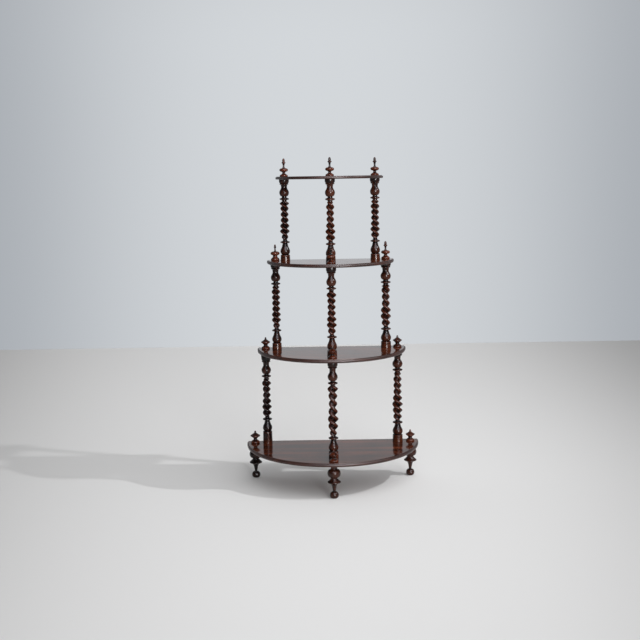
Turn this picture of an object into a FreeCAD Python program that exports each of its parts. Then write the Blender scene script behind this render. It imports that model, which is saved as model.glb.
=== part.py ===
import FreeCAD, Part
import math
import os
from collections import namedtuple

# A half-round whatnot (etagere) of turned wood: four half-round boards that grow towards the floor, on
# barley-twist posts, with a turned finial over every post and foot.
#
# Millimetres, +Z up. Seen from the front, +X is to the right and +Y to the back. The origin is on the
# floor, under the middle of the bounding box. The boards' straight edges lie in one plane at the back.
#
# Joinery: a finial ends in a round pin, which passes down through its board into a blind bore in the top of
# the post or foot beneath, and so holds the board on it. A post ends in a stub tenon at its bottom, in a
# blind bore of the board that it stands on.

V = FreeCAD.Vector

# ---------------------------------------------------------------- boards
BOTTOM_SHELF_RADIUS = 345.0
BOTTOM_FINIAL_GAP = 13.1    # between a board's finial and the post that stands inside it on the same board
LOWER_FINIAL_GAP = 8.1
UPPER_FINIAL_GAP = 3.7
TOP_SHELF_THICKNESS = 11.0
UPPER_SHELF_THICKNESS = 13.0
LOWER_SHELF_THICKNESS = 14.0
BOTTOM_SHELF_THICKNESS = 14.0
EDGE_LEDGE = 4.2            # how far the moulded edge stands out past the board's flat top
EDGE_QUIRK = 1.1            # the narrow step between the flat top's lip and the moulding
EDGE_UNDERCUT = 3.4         # how far the moulding's foot lies inside its widest line
EDGE_STEP = 0.16            # share of the thickness taken by the small step under the top
EDGE_BELLY = 0.50           # height of the moulding's widest line, as a share of the thickness

# ---------------------------------------------------------------- heights between boards, and stations
TOP_BAY_HEIGHT = 313.5
MIDDLE_BAY_HEIGHT = 337.0
LOWER_BAY_HEIGHT = 369.5
FOOT_HEIGHT = 127.5
EDGE_INSET = 34.0           # a post's axis from the curved edge of the board above it
BACK_INSET = 30.0           # a side post's axis from the straight edge

# ---------------------------------------------------------------- joinery
PIN_RADIUS = 4.5
PIN_IN_POST = 16.0
TENON_RADIUS = 9.0
TENON_LENGTH = 8.5
SIDE_GAP = 0.15             # glue gap all round a pin or tenon
END_GAP = 0.6               # room at the blind end of a bore

# ---------------------------------------------------------------- turned curves
ROUND_CUTS = 2              # chords in a quarter of a turned bead or moulding
OGEE_CUTS = 4               # chords in a turned S-curve

# ---------------------------------------------------------------- posts, shared by all nine
BLOCK_RADIUS = 18.9         # against a board, at either end
BARREL_RADIUS = 19.3        # the upper block's widest line
BARREL_END_RADIUS = 15.8    # its narrow end
BARREL_WIDEST = 0.65        # where the widest line is, as a share of the block's height
LOWER_BLOCK_TAPER = 0.8     # the lower block's top is this much slimmer
FLANGE_RADIUS = 17.6
FLANGE_HALF_THICKNESS = 2.4
PINCH_RADIUS = 13.0
VASE_RADIUS = 18.8
VASE_NECK_RADIUS = 11.4     # the vase's slender end
DISC_NECK_RADIUS = 9.2      # the necks on both sides of a disc
DISC_RADIUS = 18.4
DISC_HALF_THICKNESS = 6.0
COLLAR_ROOT_RADIUS = 8.0    # inside the twist, which hides the ring's root
COLLAR_HALF_THICKNESS = 4.5

UPPER_FLANGE_DROP = 3.2     # down from the upper block: flange, neck, vase, disc neck, disc, twist
UPPER_NECK_DROP = 15.0
UPPER_VASE_DROP = 35.5
UPPER_DISC_NECK_DROP = 51.0
UPPER_DISC_DROP = 60.5
UPPER_TWIST_DROP = 68.5
COLLAR_DROP = 16.0          # below the upper disc

LOWER_PINCH_RISE = 3.0      # up from the lower block: pinch, vase, neck, disc, twist
LOWER_VASE_RISE = 15.0
LOWER_NECK_RISE = 39.0
LOWER_DISC_RISE = 50.0
LOWER_TWIST_RISE = 58.0

# ---------------------------------------------------------------- barley twist
TWIST_WAIST_RADIUS = 6.0    # from the axis to the bottom of the groove between the two strands
TWIST_END_RADIUS = 8.4      # the round that the strands grow out of
STRAND_FULLNESS = 1.6       # 1 is a sharp groove between full strands, 2 a soft wave
SLIM_FROM = 0.22            # share of the way down the twist from which its beads are slim
BELLY_RISE = 0.35           # share over which the slim beads grow into the belly
STEPS_PER_BEAD = 6
STRAND_ANGLES = (-50.0, -18.0, 18.0, 50.0, 90.0)    # where a strand's section has its corners

# ---------------------------------------------------------------- feet
FOOT_TOP_RADIUS = 14.0
FOOT_TOP_THICKNESS = 6.0
FOOT_NECK_RADIUS = 12.0
FOOT_NECK_HEIGHT = 116.5
FOOT_BUN_TOP_RADIUS = 15.5
FOOT_BUN_TOP_HEIGHT = 110.5
FOOT_BUN_RADIUS = 25.0
FOOT_BUN_HEIGHT = 96.5
FOOT_BUN_ROOT_RADIUS = 14.5
FOOT_BUN_ROOT_HEIGHT = 81.0
FOOT_WAIST_RADIUS = 13.0
FOOT_WAIST_HEIGHT = 76.0
FOOT_DISC_RADIUS = 25.2
FOOT_DISC_HEIGHT = 62.5
FOOT_DISC_HALF_RIM = 1.2
FOOT_CUP_RADIUS = 12.8      # under the disc
FOOT_CUP_HEIGHT = 54.5
FOOT_STALK_RADIUS = 8.6
FOOT_STALK_HEIGHT = 46.5
FOOT_ANKLE_RADIUS = 5.6
FOOT_ANKLE_HEIGHT = 28.5
FOOT_BALL_RADIUS = 16.8
FOOT_BALL_HEIGHT = 11.5
FOOT_BALL_TOP_HEIGHT = 25.0
FOOT_SOLE_RADIUS = 9.0

Shelf = namedtuple("Shelf", "name radius thickness")
Bay = namedtuple("Bay", "name height upper_block lower_block")
Twist = namedtuple(
    "Twist",
    "beads head tail head_bead belly_bead tail_bead slim_bead belly_at collar",
    defaults=(15.5, 0.80, None),
)
Ring = namedtuple("Ring", "radius height")
Finial = namedtuple("Finial", "seat bun neck ball ball_half stem collar bud height")

# Heights of the plain blocks at a post's two ends, bay by bay.
BAYS = (
    Bay("top", TOP_BAY_HEIGHT, 14.5, 21.0),
    Bay("middle", MIDDLE_BAY_HEIGHT, 18.0, 23.0),
    Bay("lower", LOWER_BAY_HEIGHT, 18.0, 27.0),
)
LONG_BLOCK_EXTRA = {                    # these posts were turned with longer upper and lower blocks
    ("middle", "front"): (1.5, 0.0),
    ("lower", "left"): (18.0, 21.0),
    ("lower", "front"): (2.5, 0.0),
}
GIRTHS = {                              # these posts were left stouter than the rest
    ("middle", "right"): 1.08,
    ("lower", "right"): 1.08,
}

# Each post was twisted by hand, so its beads differ. A twist gives how many there are, how far the first lies
# below the twist's start and the last above its end, the half widths of the first, the widest and the last,
# then where they differ, those of the slim beads, the widest one's share of the way down, and the radius
# of a ring that stands before the first.
TWISTS = {
    ("top", "left"): Twist(7, 7.5, 12.0, 19.0, 19.2, 12.8),
    ("top", "right"): Twist(6, 25.5, 15.5, 17.2, 18.6, 16.0),
    ("top", "front"): Twist(6, 21.5, 15.5, 15.7, 18.9, 17.7, slim_bead=14.4),
    ("middle", "left"): Twist(7, 24.0, 11.0, 17.0, 18.4, 13.4, slim_bead=16.0),
    ("middle", "right"): Twist(6, 24.5, 15.0, 15.7, 19.5, 15.4, slim_bead=14.6, belly_at=0.72, collar=16.0),
    ("middle", "front"): Twist(7, 16.9, 14.3, 18.4, 19.2, 14.7),
    ("lower", "left"): Twist(6, 21.0, 18.5, 18.2, 19.0, 17.6),
    ("lower", "right"): Twist(7, 31.0, 14.5, 15.2, 19.6, 15.8, slim_bead=14.9, belly_at=0.68, collar=13.6),
    ("lower", "front"): Twist(7, 13.5, 7.5, 20.0, 20.4, 14.4, slim_bead=16.0, belly_at=0.72),
}
SIDES = ("left", "right", "front")

# The finials' seat radius, rings and height above their board. The two upper boards carry spires.
TOP_SPIRE = Finial(
    seat=15.0,
    bun=Ring(16.0, 3.4),
    neck=Ring(5.3, 13.5),
    ball=Ring(16.8, 25.3),
    ball_half=7.0,
    stem=Ring(3.3, 39.0),
    collar=Ring(7.8, 53.0),
    bud=Ring(5.0, 60.0),
    height=69.3,
)
UPPER_SPIRE = TOP_SPIRE._replace(bun=Ring(17.0, 4.2), neck=Ring(6.2, 15.7), ball=Ring(17.4, 26.7))
SLIM_TIPPED_SPIRE = Finial(
    seat=15.0,
    bun=Ring(17.0, 4.2),
    neck=Ring(8.6, 16.3),
    ball=Ring(18.0, 28.2),
    ball_half=7.4,
    stem=Ring(3.0, 43.5),
    collar=Ring(5.0, 51.5),
    bud=Ring(3.7, 55.5),
    height=62.5,
)
KNOB = Finial(
    seat=15.0,
    bun=Ring(17.2, 3.5),
    neck=Ring(7.6, 13.9),
    ball=Ring(18.0, 26.6),
    ball_half=8.8,
    stem=Ring(3.9, 37.5),
    collar=None,
    bud=Ring(3.7, 40.0),
    height=46.0,
)
TALL_KNOB = Finial(
    seat=15.0,
    bun=Ring(18.0, 4.5),
    neck=Ring(6.6, 17.0),
    ball=Ring(19.4, 30.2),
    ball_half=9.6,
    stem=Ring(3.9, 42.5),
    collar=None,
    bud=Ring(3.7, 44.7),
    height=50.5,
)
FINIALS = {"top": TOP_SPIRE, "upper": UPPER_SPIRE, "lower": KNOB, "bottom": KNOB}
ODD_FINIALS = {                         # turned apart from the rest of their board
    ("upper", "left"): SLIM_TIPPED_SPIRE,
    ("bottom", "left"): TALL_KNOB,
}
FINIAL_TIP_RADIUS = 0.8


def radius_above(board, radius, gap):
    """The radius of the next board up, whose posts stand clear inside this board's finials."""
    form = FINIALS[board]
    return radius - max(form.bun.radius, form.ball.radius) - gap - BLOCK_RADIUS


LOWER_SHELF_RADIUS = radius_above("bottom", BOTTOM_SHELF_RADIUS, BOTTOM_FINIAL_GAP)
UPPER_SHELF_RADIUS = radius_above("lower", LOWER_SHELF_RADIUS, LOWER_FINIAL_GAP)
TOP_SHELF_RADIUS = radius_above("upper", UPPER_SHELF_RADIUS, UPPER_FINIAL_GAP)
SHELVES = (
    Shelf("top", TOP_SHELF_RADIUS, TOP_SHELF_THICKNESS),
    Shelf("upper", UPPER_SHELF_RADIUS, UPPER_SHELF_THICKNESS),
    Shelf("lower", LOWER_SHELF_RADIUS, LOWER_SHELF_THICKNESS),
    Shelf("bottom", BOTTOM_SHELF_RADIUS, BOTTOM_SHELF_THICKNESS),
)

BACK_Y = BOTTOM_SHELF_RADIUS / 2.0      # the plane of the boards' straight edges


def station(radius, side):
    """The axis (x, y) of a post, finial or foot of the board of this radius."""
    reach = radius - EDGE_INSET
    places = {
        "left": (-reach, BACK_Y - BACK_INSET),
        "right": (reach, BACK_Y - BACK_INSET),
        "front": (0.0, BACK_Y - reach),
    }
    return places[side]


def shelf_tops():
    """The height of each board's flat top, from the top board down."""
    tops = [FOOT_HEIGHT + SHELVES[-1].thickness]
    for shelf, bay in zip(reversed(SHELVES[:-1]), reversed(BAYS)):
        tops.append(tops[-1] + bay.height + shelf.thickness)
    return tuple(reversed(tops))


def cylinder(radius, height, x, y, z):
    """An upright cylinder that stands on the height z."""
    return Part.makeCylinder(radius, height, V(x, y, z))


# ---------------------------------------------------------------- turning
class Outline:
    """The half section of a turned piece, drawn upwards as radius against height.

    A piece of more than the usual girth has all its radii in that proportion.
    """

    def __init__(self, radius, height, girth=1.0):
        self.radius = radius
        self.height = height
        self.girth = girth
        self.foot = V(0, 0, height)
        self.edges = [Part.makeLine(self.foot, self.here())]

    def here(self):
        """The point that the outline has reached."""
        return V(self.girth * self.radius, 0, self.height)

    def line(self, radius, height):
        """A straight cut: a cylinder, cone or shoulder."""
        start = self.here()
        self.radius = radius
        self.height = height
        self.edges.append(Part.makeLine(start, self.here()))

    def swell(self, radius, height):
        """Round cuts that end upright, as up to a bead's widest line: a quarter of an oval, by chords."""
        start_radius = self.radius
        start_height = self.height
        for cut in range(1, ROUND_CUTS + 1):
            turn = math.pi / 2 * cut / ROUND_CUTS
            self.line(
                start_radius + (radius - start_radius) * math.sin(turn),
                start_height + (height - start_height) * (1 - math.cos(turn)),
            )

    def fall(self, radius, height):
        """Round cuts that start upright, as from a bead's widest line: a quarter of an oval, by chords."""
        start_radius = self.radius
        start_height = self.height
        for cut in range(1, ROUND_CUTS + 1):
            turn = math.pi / 2 * cut / ROUND_CUTS
            self.line(
                start_radius + (radius - start_radius) * (1 - math.cos(turn)),
                start_height + (height - start_height) * math.sin(turn),
            )

    def ogee(self, radius, height):
        """An S-shaped sweep that is upright at both ends, by chords."""
        start_radius = self.radius
        start_height = self.height
        for cut in range(1, OGEE_CUTS + 1):
            share = cut / OGEE_CUTS
            self.line(
                start_radius + (radius - start_radius) * (1 - math.cos(math.pi * share)) / 2,
                start_height + (height - start_height) * share,
            )

    def disc(self, radius, half_thickness, height, root):
        """A thin disc with a sharp rim, which springs from the root's radius below and above."""
        self.line(root, height - half_thickness)
        self.line(radius, height)
        self.line(root, height + half_thickness)

    def turned(self):
        """The solid that the outline makes on the lathe."""
        top = V(0, 0, self.height)
        self.edges.append(Part.makeLine(self.here(), top))
        self.edges.append(Part.makeLine(top, self.foot))
        section = Part.Face(Part.Wire(self.edges))
        return section.revolve(V(0, 0, 0), V(0, 0, 1), 360)


# ---------------------------------------------------------------- barley twist
def bead_radius(twist, share):
    """The half width of the bead at this share of the way down the twist."""
    stages = (
        (0.0, twist.head_bead),
        (SLIM_FROM, twist.slim_bead),
        (twist.belly_at - BELLY_RISE, twist.slim_bead),
        (twist.belly_at, twist.belly_bead),
        (1.0, twist.tail_bead),
    )
    if share <= 0.0:
        return twist.head_bead
    for (start, before), (end, after) in zip(stages, stages[1:]):
        if share <= end:
            ease = 0.5 - 0.5 * math.cos(math.pi * (share - start) / (end - start))
            return before + (after - before) * ease
    return twist.tail_bead


def twist_section(height, angle, ridge, waist):
    """The corners of the two-stranded section at one height, turned by an angle."""
    corners = []
    for strand in (0.0, 180.0):
        for corner in STRAND_ANGLES:
            around = math.radians(strand + corner)
            radius = waist + (ridge - waist) * abs(math.cos(around)) ** STRAND_FULLNESS
            corners.append(V(radius * math.cos(around + angle), radius * math.sin(around + angle), height))
    return corners


def barley_twist(bottom, top, twist, girth):
    """Two strands wound left-handed round each other, between two round ends.

    Half a turn of the section is one bead of the silhouette, so the turning rate follows from the beads.
    """
    first = top - twist.head
    last = bottom + twist.tail
    pitch = (first - last) / (twist.beads - 1)
    steps = math.ceil((top - bottom) / pitch * STEPS_PER_BEAD)
    sections = []
    for step in range(steps + 1):
        height = bottom + (top - bottom) * step / steps
        growth = min(1.0, (height - bottom) / (pitch / 2), (top - height) / (pitch / 2))
        growth = math.sin(math.pi / 2 * growth)
        waist = TWIST_END_RADIUS + (TWIST_WAIST_RADIUS - TWIST_END_RADIUS) * growth
        bead = bead_radius(twist, (first - height) / (first - last))
        ridge = TWIST_END_RADIUS + (bead - TWIST_END_RADIUS) * growth
        angle = -math.pi * (height - last) / pitch
        sections.append(twist_section(height, angle, girth * ridge, girth * waist))
    return skin(sections)


def skin(sections):
    """A solid of flat facets through rings that have equally many corners."""
    def facet(*corners):
        return Part.Face(Part.makePolygon(list(corners) + [corners[0]]))

    faces = [facet(*sections[0]), facet(*sections[-1])]
    count = len(sections[0])
    for below, above in zip(sections, sections[1:]):
        for corner in range(count):
            beside = (corner + 1) % count
            faces.append(facet(below[corner], below[beside], above[beside]))
            faces.append(facet(below[corner], above[beside], above[corner]))
    shell = Part.makeShell(faces)
    shell.sewShape()
    solid = Part.Solid(shell)
    if solid.Volume < 0:
        solid.reverse()
    return solid


# ---------------------------------------------------------------- pieces
def shelf_board(index):
    """One half-round board, its moulded edge turned about the middle of its straight edge."""
    shelf = SHELVES[index]
    top = shelf_tops()[index]
    bottom = top - shelf.thickness
    lip = shelf.radius - EDGE_LEDGE
    ledge = top - EDGE_STEP * shelf.thickness
    section = Outline(shelf.radius - EDGE_UNDERCUT, bottom)
    section.swell(shelf.radius, bottom + EDGE_BELLY * shelf.thickness)
    section.fall(lip + EDGE_QUIRK, ledge)
    section.line(lip, ledge)
    section.line(lip, top)
    board = section.turned()
    behind = Part.makeBox(3 * shelf.radius, 2 * shelf.radius, 3 * shelf.thickness)
    behind.translate(V(-1.5 * shelf.radius, 0, bottom - shelf.thickness))
    board = board.cut(behind)
    board.translate(V(0, BACK_Y, 0))

    for side in SIDES:
        x, y = station(shelf.radius, side)
        bore = cylinder(PIN_RADIUS + SIDE_GAP, 3 * shelf.thickness, x, y, bottom - shelf.thickness)
        board = board.cut(bore)
        if index > 0:
            x, y = station(SHELVES[index - 1].radius, side)
            depth = TENON_LENGTH + END_GAP
            board = board.cut(cylinder(TENON_RADIUS + SIDE_GAP, 2 * depth, x, y, top - depth))
    return board


def pin_bore(height):
    """The room for a finial's pin below a piece's top at this height, on the Z axis."""
    depth = PIN_IN_POST + END_GAP
    return cylinder(PIN_RADIUS + SIDE_GAP, 2 * depth, 0, 0, height - depth)


def lower_turning(block, twist_bottom, girth):
    """A post's lower end: stub tenon, block, pinch, vase, disc and the neck under the twist."""
    outline = Outline(BLOCK_RADIUS, 0, girth)
    outline.line(BLOCK_RADIUS - LOWER_BLOCK_TAPER, block)
    outline.line(PINCH_RADIUS, block + LOWER_PINCH_RISE)
    outline.swell(VASE_RADIUS, block + LOWER_VASE_RISE)
    outline.ogee(VASE_NECK_RADIUS, block + LOWER_NECK_RISE)
    outline.disc(DISC_RADIUS, DISC_HALF_THICKNESS, block + LOWER_DISC_RISE, DISC_NECK_RADIUS)
    outline.line(DISC_NECK_RADIUS, twist_bottom)
    return outline.turned().fuse(cylinder(TENON_RADIUS, TENON_LENGTH, 0, 0, -TENON_LENGTH))


def upper_turning(block, top, twist_top, girth):
    """A post's upper end: neck over the twist, disc, vase, flange and barrel-shaped block."""
    outline = Outline(DISC_NECK_RADIUS, twist_top, girth)
    outline.disc(DISC_RADIUS, DISC_HALF_THICKNESS, block - UPPER_DISC_DROP, DISC_NECK_RADIUS)
    outline.line(DISC_NECK_RADIUS, block - UPPER_DISC_NECK_DROP)
    outline.swell(VASE_RADIUS, block - UPPER_VASE_DROP)
    outline.ogee(VASE_NECK_RADIUS, block - UPPER_NECK_DROP)
    outline.disc(FLANGE_RADIUS, FLANGE_HALF_THICKNESS, block - UPPER_FLANGE_DROP, BARREL_END_RADIUS)
    outline.line(BARREL_END_RADIUS, block)
    outline.swell(BARREL_RADIUS, block + BARREL_WIDEST * (top - block))
    outline.line(BLOCK_RADIUS, top)
    return outline.turned().cut(pin_bore(top))


def post(bay_index, side):
    """One post, from its stub tenon through the barley twist to the bore for the finial's pin."""
    bay = BAYS[bay_index]
    twist = TWISTS[bay.name, side]
    girth = GIRTHS.get((bay.name, side), 1.0)
    extra_upper, extra_lower = LONG_BLOCK_EXTRA.get((bay.name, side), (0.0, 0.0))
    lower_block = bay.lower_block + extra_lower
    upper_block = bay.height - bay.upper_block - extra_upper
    twist_bottom = lower_block + LOWER_TWIST_RISE
    twist_top = upper_block - UPPER_TWIST_DROP

    body = lower_turning(lower_block, twist_bottom, girth)
    body = body.fuse(barley_twist(twist_bottom, twist_top, twist, girth))
    body = body.fuse(upper_turning(upper_block, bay.height, twist_top, girth))
    if twist.collar:
        middle = upper_block - UPPER_DISC_DROP - COLLAR_DROP
        ring = Outline(COLLAR_ROOT_RADIUS, middle - COLLAR_HALF_THICKNESS, girth)
        ring.line(twist.collar, middle)
        ring.line(COLLAR_ROOT_RADIUS, middle + COLLAR_HALF_THICKNESS)
        body = body.fuse(ring.turned())
    x, y = station(SHELVES[bay_index].radius, side)
    body.translate(V(x, y, shelf_tops()[bay_index + 1]))
    return body


def finial(shelf_index, side):
    """One finial: pin, bun, neck, ball and spire or point."""
    shelf = SHELVES[shelf_index]
    form = ODD_FINIALS.get((shelf.name, side), FINIALS[shelf.name])
    outline = Outline(PIN_RADIUS, -shelf.thickness - PIN_IN_POST)
    outline.line(PIN_RADIUS, 0)
    outline.line(form.seat, 0)
    outline.swell(form.bun.radius, form.bun.height)
    outline.ogee(form.neck.radius, form.neck.height)
    outline.line(form.neck.radius, form.ball.height - form.ball_half)
    outline.swell(form.ball.radius, form.ball.height)
    outline.fall(form.stem.radius, form.ball.height + form.ball_half)
    outline.line(form.stem.radius, form.stem.height)
    if form.collar:
        outline.line(form.collar.radius, form.collar.height)
    outline.line(form.bud.radius, form.bud.height)
    outline.fall(FINIAL_TIP_RADIUS, form.height)
    solid = outline.turned()
    x, y = station(shelf.radius, side)
    solid.translate(V(x, y, shelf_tops()[shelf_index]))
    return solid


def foot(side):
    """A turned foot: ball, slender ankle, disc, waist, bun, and the bore for its finial's pin."""
    outline = Outline(FOOT_SOLE_RADIUS, 0)
    outline.swell(FOOT_BALL_RADIUS, FOOT_BALL_HEIGHT)
    outline.fall(FOOT_ANKLE_RADIUS, FOOT_BALL_TOP_HEIGHT)
    outline.line(FOOT_ANKLE_RADIUS, FOOT_ANKLE_HEIGHT)
    outline.line(FOOT_STALK_RADIUS, FOOT_STALK_HEIGHT)
    outline.line(FOOT_CUP_RADIUS, FOOT_CUP_HEIGHT)
    outline.line(FOOT_DISC_RADIUS, FOOT_DISC_HEIGHT - FOOT_DISC_HALF_RIM)
    outline.line(FOOT_DISC_RADIUS, FOOT_DISC_HEIGHT + FOOT_DISC_HALF_RIM)
    outline.line(FOOT_WAIST_RADIUS, FOOT_WAIST_HEIGHT)
    outline.line(FOOT_BUN_ROOT_RADIUS, FOOT_BUN_ROOT_HEIGHT)
    outline.swell(FOOT_BUN_RADIUS, FOOT_BUN_HEIGHT)
    outline.fall(FOOT_BUN_TOP_RADIUS, FOOT_BUN_TOP_HEIGHT)
    outline.line(FOOT_NECK_RADIUS, FOOT_NECK_HEIGHT)
    outline.line(FOOT_TOP_RADIUS, FOOT_HEIGHT - FOOT_TOP_THICKNESS)
    outline.line(FOOT_TOP_RADIUS, FOOT_HEIGHT)
    solid = outline.turned().cut(pin_bore(FOOT_HEIGHT))
    x, y = station(BOTTOM_SHELF_RADIUS, side)
    solid.translate(V(x, y, 0))
    return solid


def pieces():
    """Every piece by its node's name."""
    made = {}
    for index, shelf in enumerate(SHELVES):
        made[f"shelf_{shelf.name}"] = shelf_board(index)
        for side in SIDES:
            made[f"finial_{shelf.name}_{side}"] = finial(index, side)
    for index, bay in enumerate(BAYS):
        for side in SIDES:
            made[f"post_{bay.name}_{side}"] = post(index, side)
    for side in SIDES:
        made[f"foot_{side}"] = foot(side)
    return made


os.makedirs("parts", exist_ok=True)
for node, shape in pieces().items():
    shape.exportStep(f"parts/{node}.step")
    print(node, "solids", len(shape.Solids), "valid", shape.isValid(), "volume", round(shape.Volume))
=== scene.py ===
"""Looks of a half-round whatnot: four polished boards on barley-twist posts, with turned finials and feet.

The sizes of the turned work are in millimetres above the board or floor that a piece stands on. Where each
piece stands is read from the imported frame. Meshes are made in metres, in the frame's own place.
"""

import logging
import math
from dataclasses import dataclass, replace
from enum import Enum
from typing import Iterable, NamedTuple

import bmesh
import bpy
from mathutils import Euler, Matrix, Vector


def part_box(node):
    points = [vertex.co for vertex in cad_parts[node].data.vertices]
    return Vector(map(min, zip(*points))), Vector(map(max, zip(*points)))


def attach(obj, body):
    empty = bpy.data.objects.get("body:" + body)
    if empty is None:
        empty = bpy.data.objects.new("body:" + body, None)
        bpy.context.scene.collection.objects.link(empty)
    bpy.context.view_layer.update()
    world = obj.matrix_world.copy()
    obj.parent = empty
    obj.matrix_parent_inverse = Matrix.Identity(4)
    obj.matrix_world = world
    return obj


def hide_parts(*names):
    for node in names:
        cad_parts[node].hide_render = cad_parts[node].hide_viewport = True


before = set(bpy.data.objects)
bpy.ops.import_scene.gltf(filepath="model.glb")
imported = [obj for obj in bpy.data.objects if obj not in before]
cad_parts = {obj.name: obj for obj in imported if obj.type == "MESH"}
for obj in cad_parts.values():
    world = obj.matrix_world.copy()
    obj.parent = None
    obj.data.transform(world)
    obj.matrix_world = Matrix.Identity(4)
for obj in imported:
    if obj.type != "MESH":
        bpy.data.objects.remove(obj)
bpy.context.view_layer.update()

log = logging.getLogger("whatnot")

Colour = tuple[float, float, float]
Place = tuple[float, float, float]
Band = tuple[float, float]      # where a mask is 0 and where it is 1
Cut = tuple[float, float]       # the radius and height that a turned outline reaches, in millimetres

MM = 0.001
RELIEF_SHADING = "rub"                     # vertex attribute: 0 in a hollow, 1 on a ridge; the finishes paint shade in hollows and highlights on ridges from it
WORKED = "worked"               # vertex attribute: 0 on a piece's flat ends, 1 on the rest of it
SHARP_ANGLE = math.radians(38.0)
WHITE = (1.0, 1.0, 1.0, 1.0)


# ---------------------------------------------------------------- shader graphs
class Value:
    """A number in a shader graph, on which Python's arithmetic adds Math nodes."""

    def __init__(self, graph: "Graph", socket: bpy.types.NodeSocket) -> None:
        """Wraps one socket of the graph."""
        self.graph = graph
        self.socket = socket

    def _math(self, operation: str, first: object, second: object) -> "Value":
        """The result of a Math node on two numbers or values."""
        node = self.graph.node("ShaderNodeMath", {"operation": operation}, {0: first, 1: second})
        return Value(self.graph, node.outputs[0])

    def __add__(self, other: object) -> "Value":
        """self + other."""
        return self._math("ADD", self, other)

    __radd__ = __add__

    def __sub__(self, other: object) -> "Value":
        """self - other."""
        return self._math("SUBTRACT", self, other)

    def __rsub__(self, other: object) -> "Value":
        """other - self."""
        return self._math("SUBTRACT", other, self)

    def __mul__(self, other: object) -> "Value":
        """self * other."""
        return self._math("MULTIPLY", self, other)

    __rmul__ = __mul__

    def between(self, low: float, high: float) -> "Value":
        """0 at low, 1 at high, with a soft step from one to the other."""
        node = self.graph.node(
            "ShaderNodeMapRange",
            {"interpolation_type": "SMOOTHSTEP"},
            {"Value": self, "From Min": low, "From Max": high},
        )
        return Value(self.graph, node.outputs[0])


class Graph:
    """A node tree, and the one place where its nodes are made."""

    def __init__(self, tree: bpy.types.NodeTree) -> None:
        """Takes over a tree and empties it."""
        self.tree = tree
        self.tree.nodes.clear()

    def node(self, kind: str, settings: dict | None = None, inputs: dict | None = None) -> bpy.types.Node:
        """Adds a node.

        Args:
            kind: The node's type.
            settings: Its properties, set first; "stops" holds a ramp's (position, colour) pairs.
            inputs: Numbers, colours, values or sockets, by the input's name or number.

        Returns:
            The new node.
        """
        node = self.tree.nodes.new(kind)
        for key, setting in (settings or {}).items():
            if key == "stops":
                self._set_stops(node.color_ramp, setting)
            else:
                setattr(node, key, setting)
        for key, given in (inputs or {}).items():
            source = given.socket if isinstance(given, Value) else given
            if isinstance(source, bpy.types.NodeSocket):
                self.tree.links.new(source, node.inputs[key])
            else:
                node.inputs[key].default_value = source
        return node

    @staticmethod
    def _set_stops(ramp: bpy.types.ColorRamp, stops: Iterable[tuple[float, Colour]]) -> None:
        """Gives a colour ramp its stops.

        Args:
            ramp: The ramp.
            stops: Its (position, colour) pairs, from 0 to 1.
        """
        while len(ramp.elements) > 1:
            ramp.elements.remove(ramp.elements[-1])
        for index, (position, colour) in enumerate(stops):
            element = ramp.elements[0] if index == 0 else ramp.elements.new(position)
            element.position = position
            element.color = (*colour, 1.0)

    def noise(self, vector: object, scale: float, detail: float = 4.0, distortion: float = 0.0) -> Value:
        """Plain noise.

        Args:
            vector: Where it is read.
            scale: How many of its waves there are in a metre.
            detail: How many finer waves lie in them.
            distortion: How far they are bent.

        Returns:
            A number about 0.5.
        """
        node = self.node(
            "ShaderNodeTexNoise",
            {"noise_dimensions": "3D"},
            {"Vector": vector, "Scale": scale, "Detail": detail, "Distortion": distortion},
        )
        return Value(self, node.outputs["Fac"])

    def attribute(self, name: str) -> Value:
        """A vertex attribute."""
        return Value(self, self.node("ShaderNodeAttribute", {"attribute_name": name}).outputs["Fac"])

    def axis(self, vector: object, letter: str) -> Value:
        """A vector's X, Y or Z."""
        return Value(self, self.node("ShaderNodeSeparateXYZ", {}, {0: vector}).outputs[letter])

    def facing(self, vector: object, direction: Place) -> Value:
        """How far one direction of length 1 points the way of another: 1 where they agree."""
        node = self.node("ShaderNodeVectorMath", {"operation": "DOT_PRODUCT"}, {0: vector, 1: direction})
        return Value(self, node.outputs["Value"])

    def mixed(self, share: object, first: object, second: object) -> bpy.types.NodeSocket:
        """A colour between two others.

        Args:
            share: 0 for the first, 1 for the second.
            first: A colour or its socket.
            second: Another.

        Returns:
            The mixed colour's socket.
        """
        node = self.node(
            "ShaderNodeMix", {"data_type": "RGBA"}, {0: share, 6: self._rgba(first), 7: self._rgba(second)}
        )
        return node.outputs[2]

    @staticmethod
    def _rgba(colour: object) -> object:
        """A plain colour with its alpha, and anything else as it is."""
        return (*colour, 1.0) if isinstance(colour, tuple) and len(colour) == 3 else colour


# ---------------------------------------------------------------- finishes
class Grain(Enum):
    """Which way the grain runs: noise scales per metre along x, y and z."""

    ALONG_BOARD = (1.7, 34.0, 34.0)
    UP_THE_POST = (95.0, 95.0, 6.5)


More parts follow.
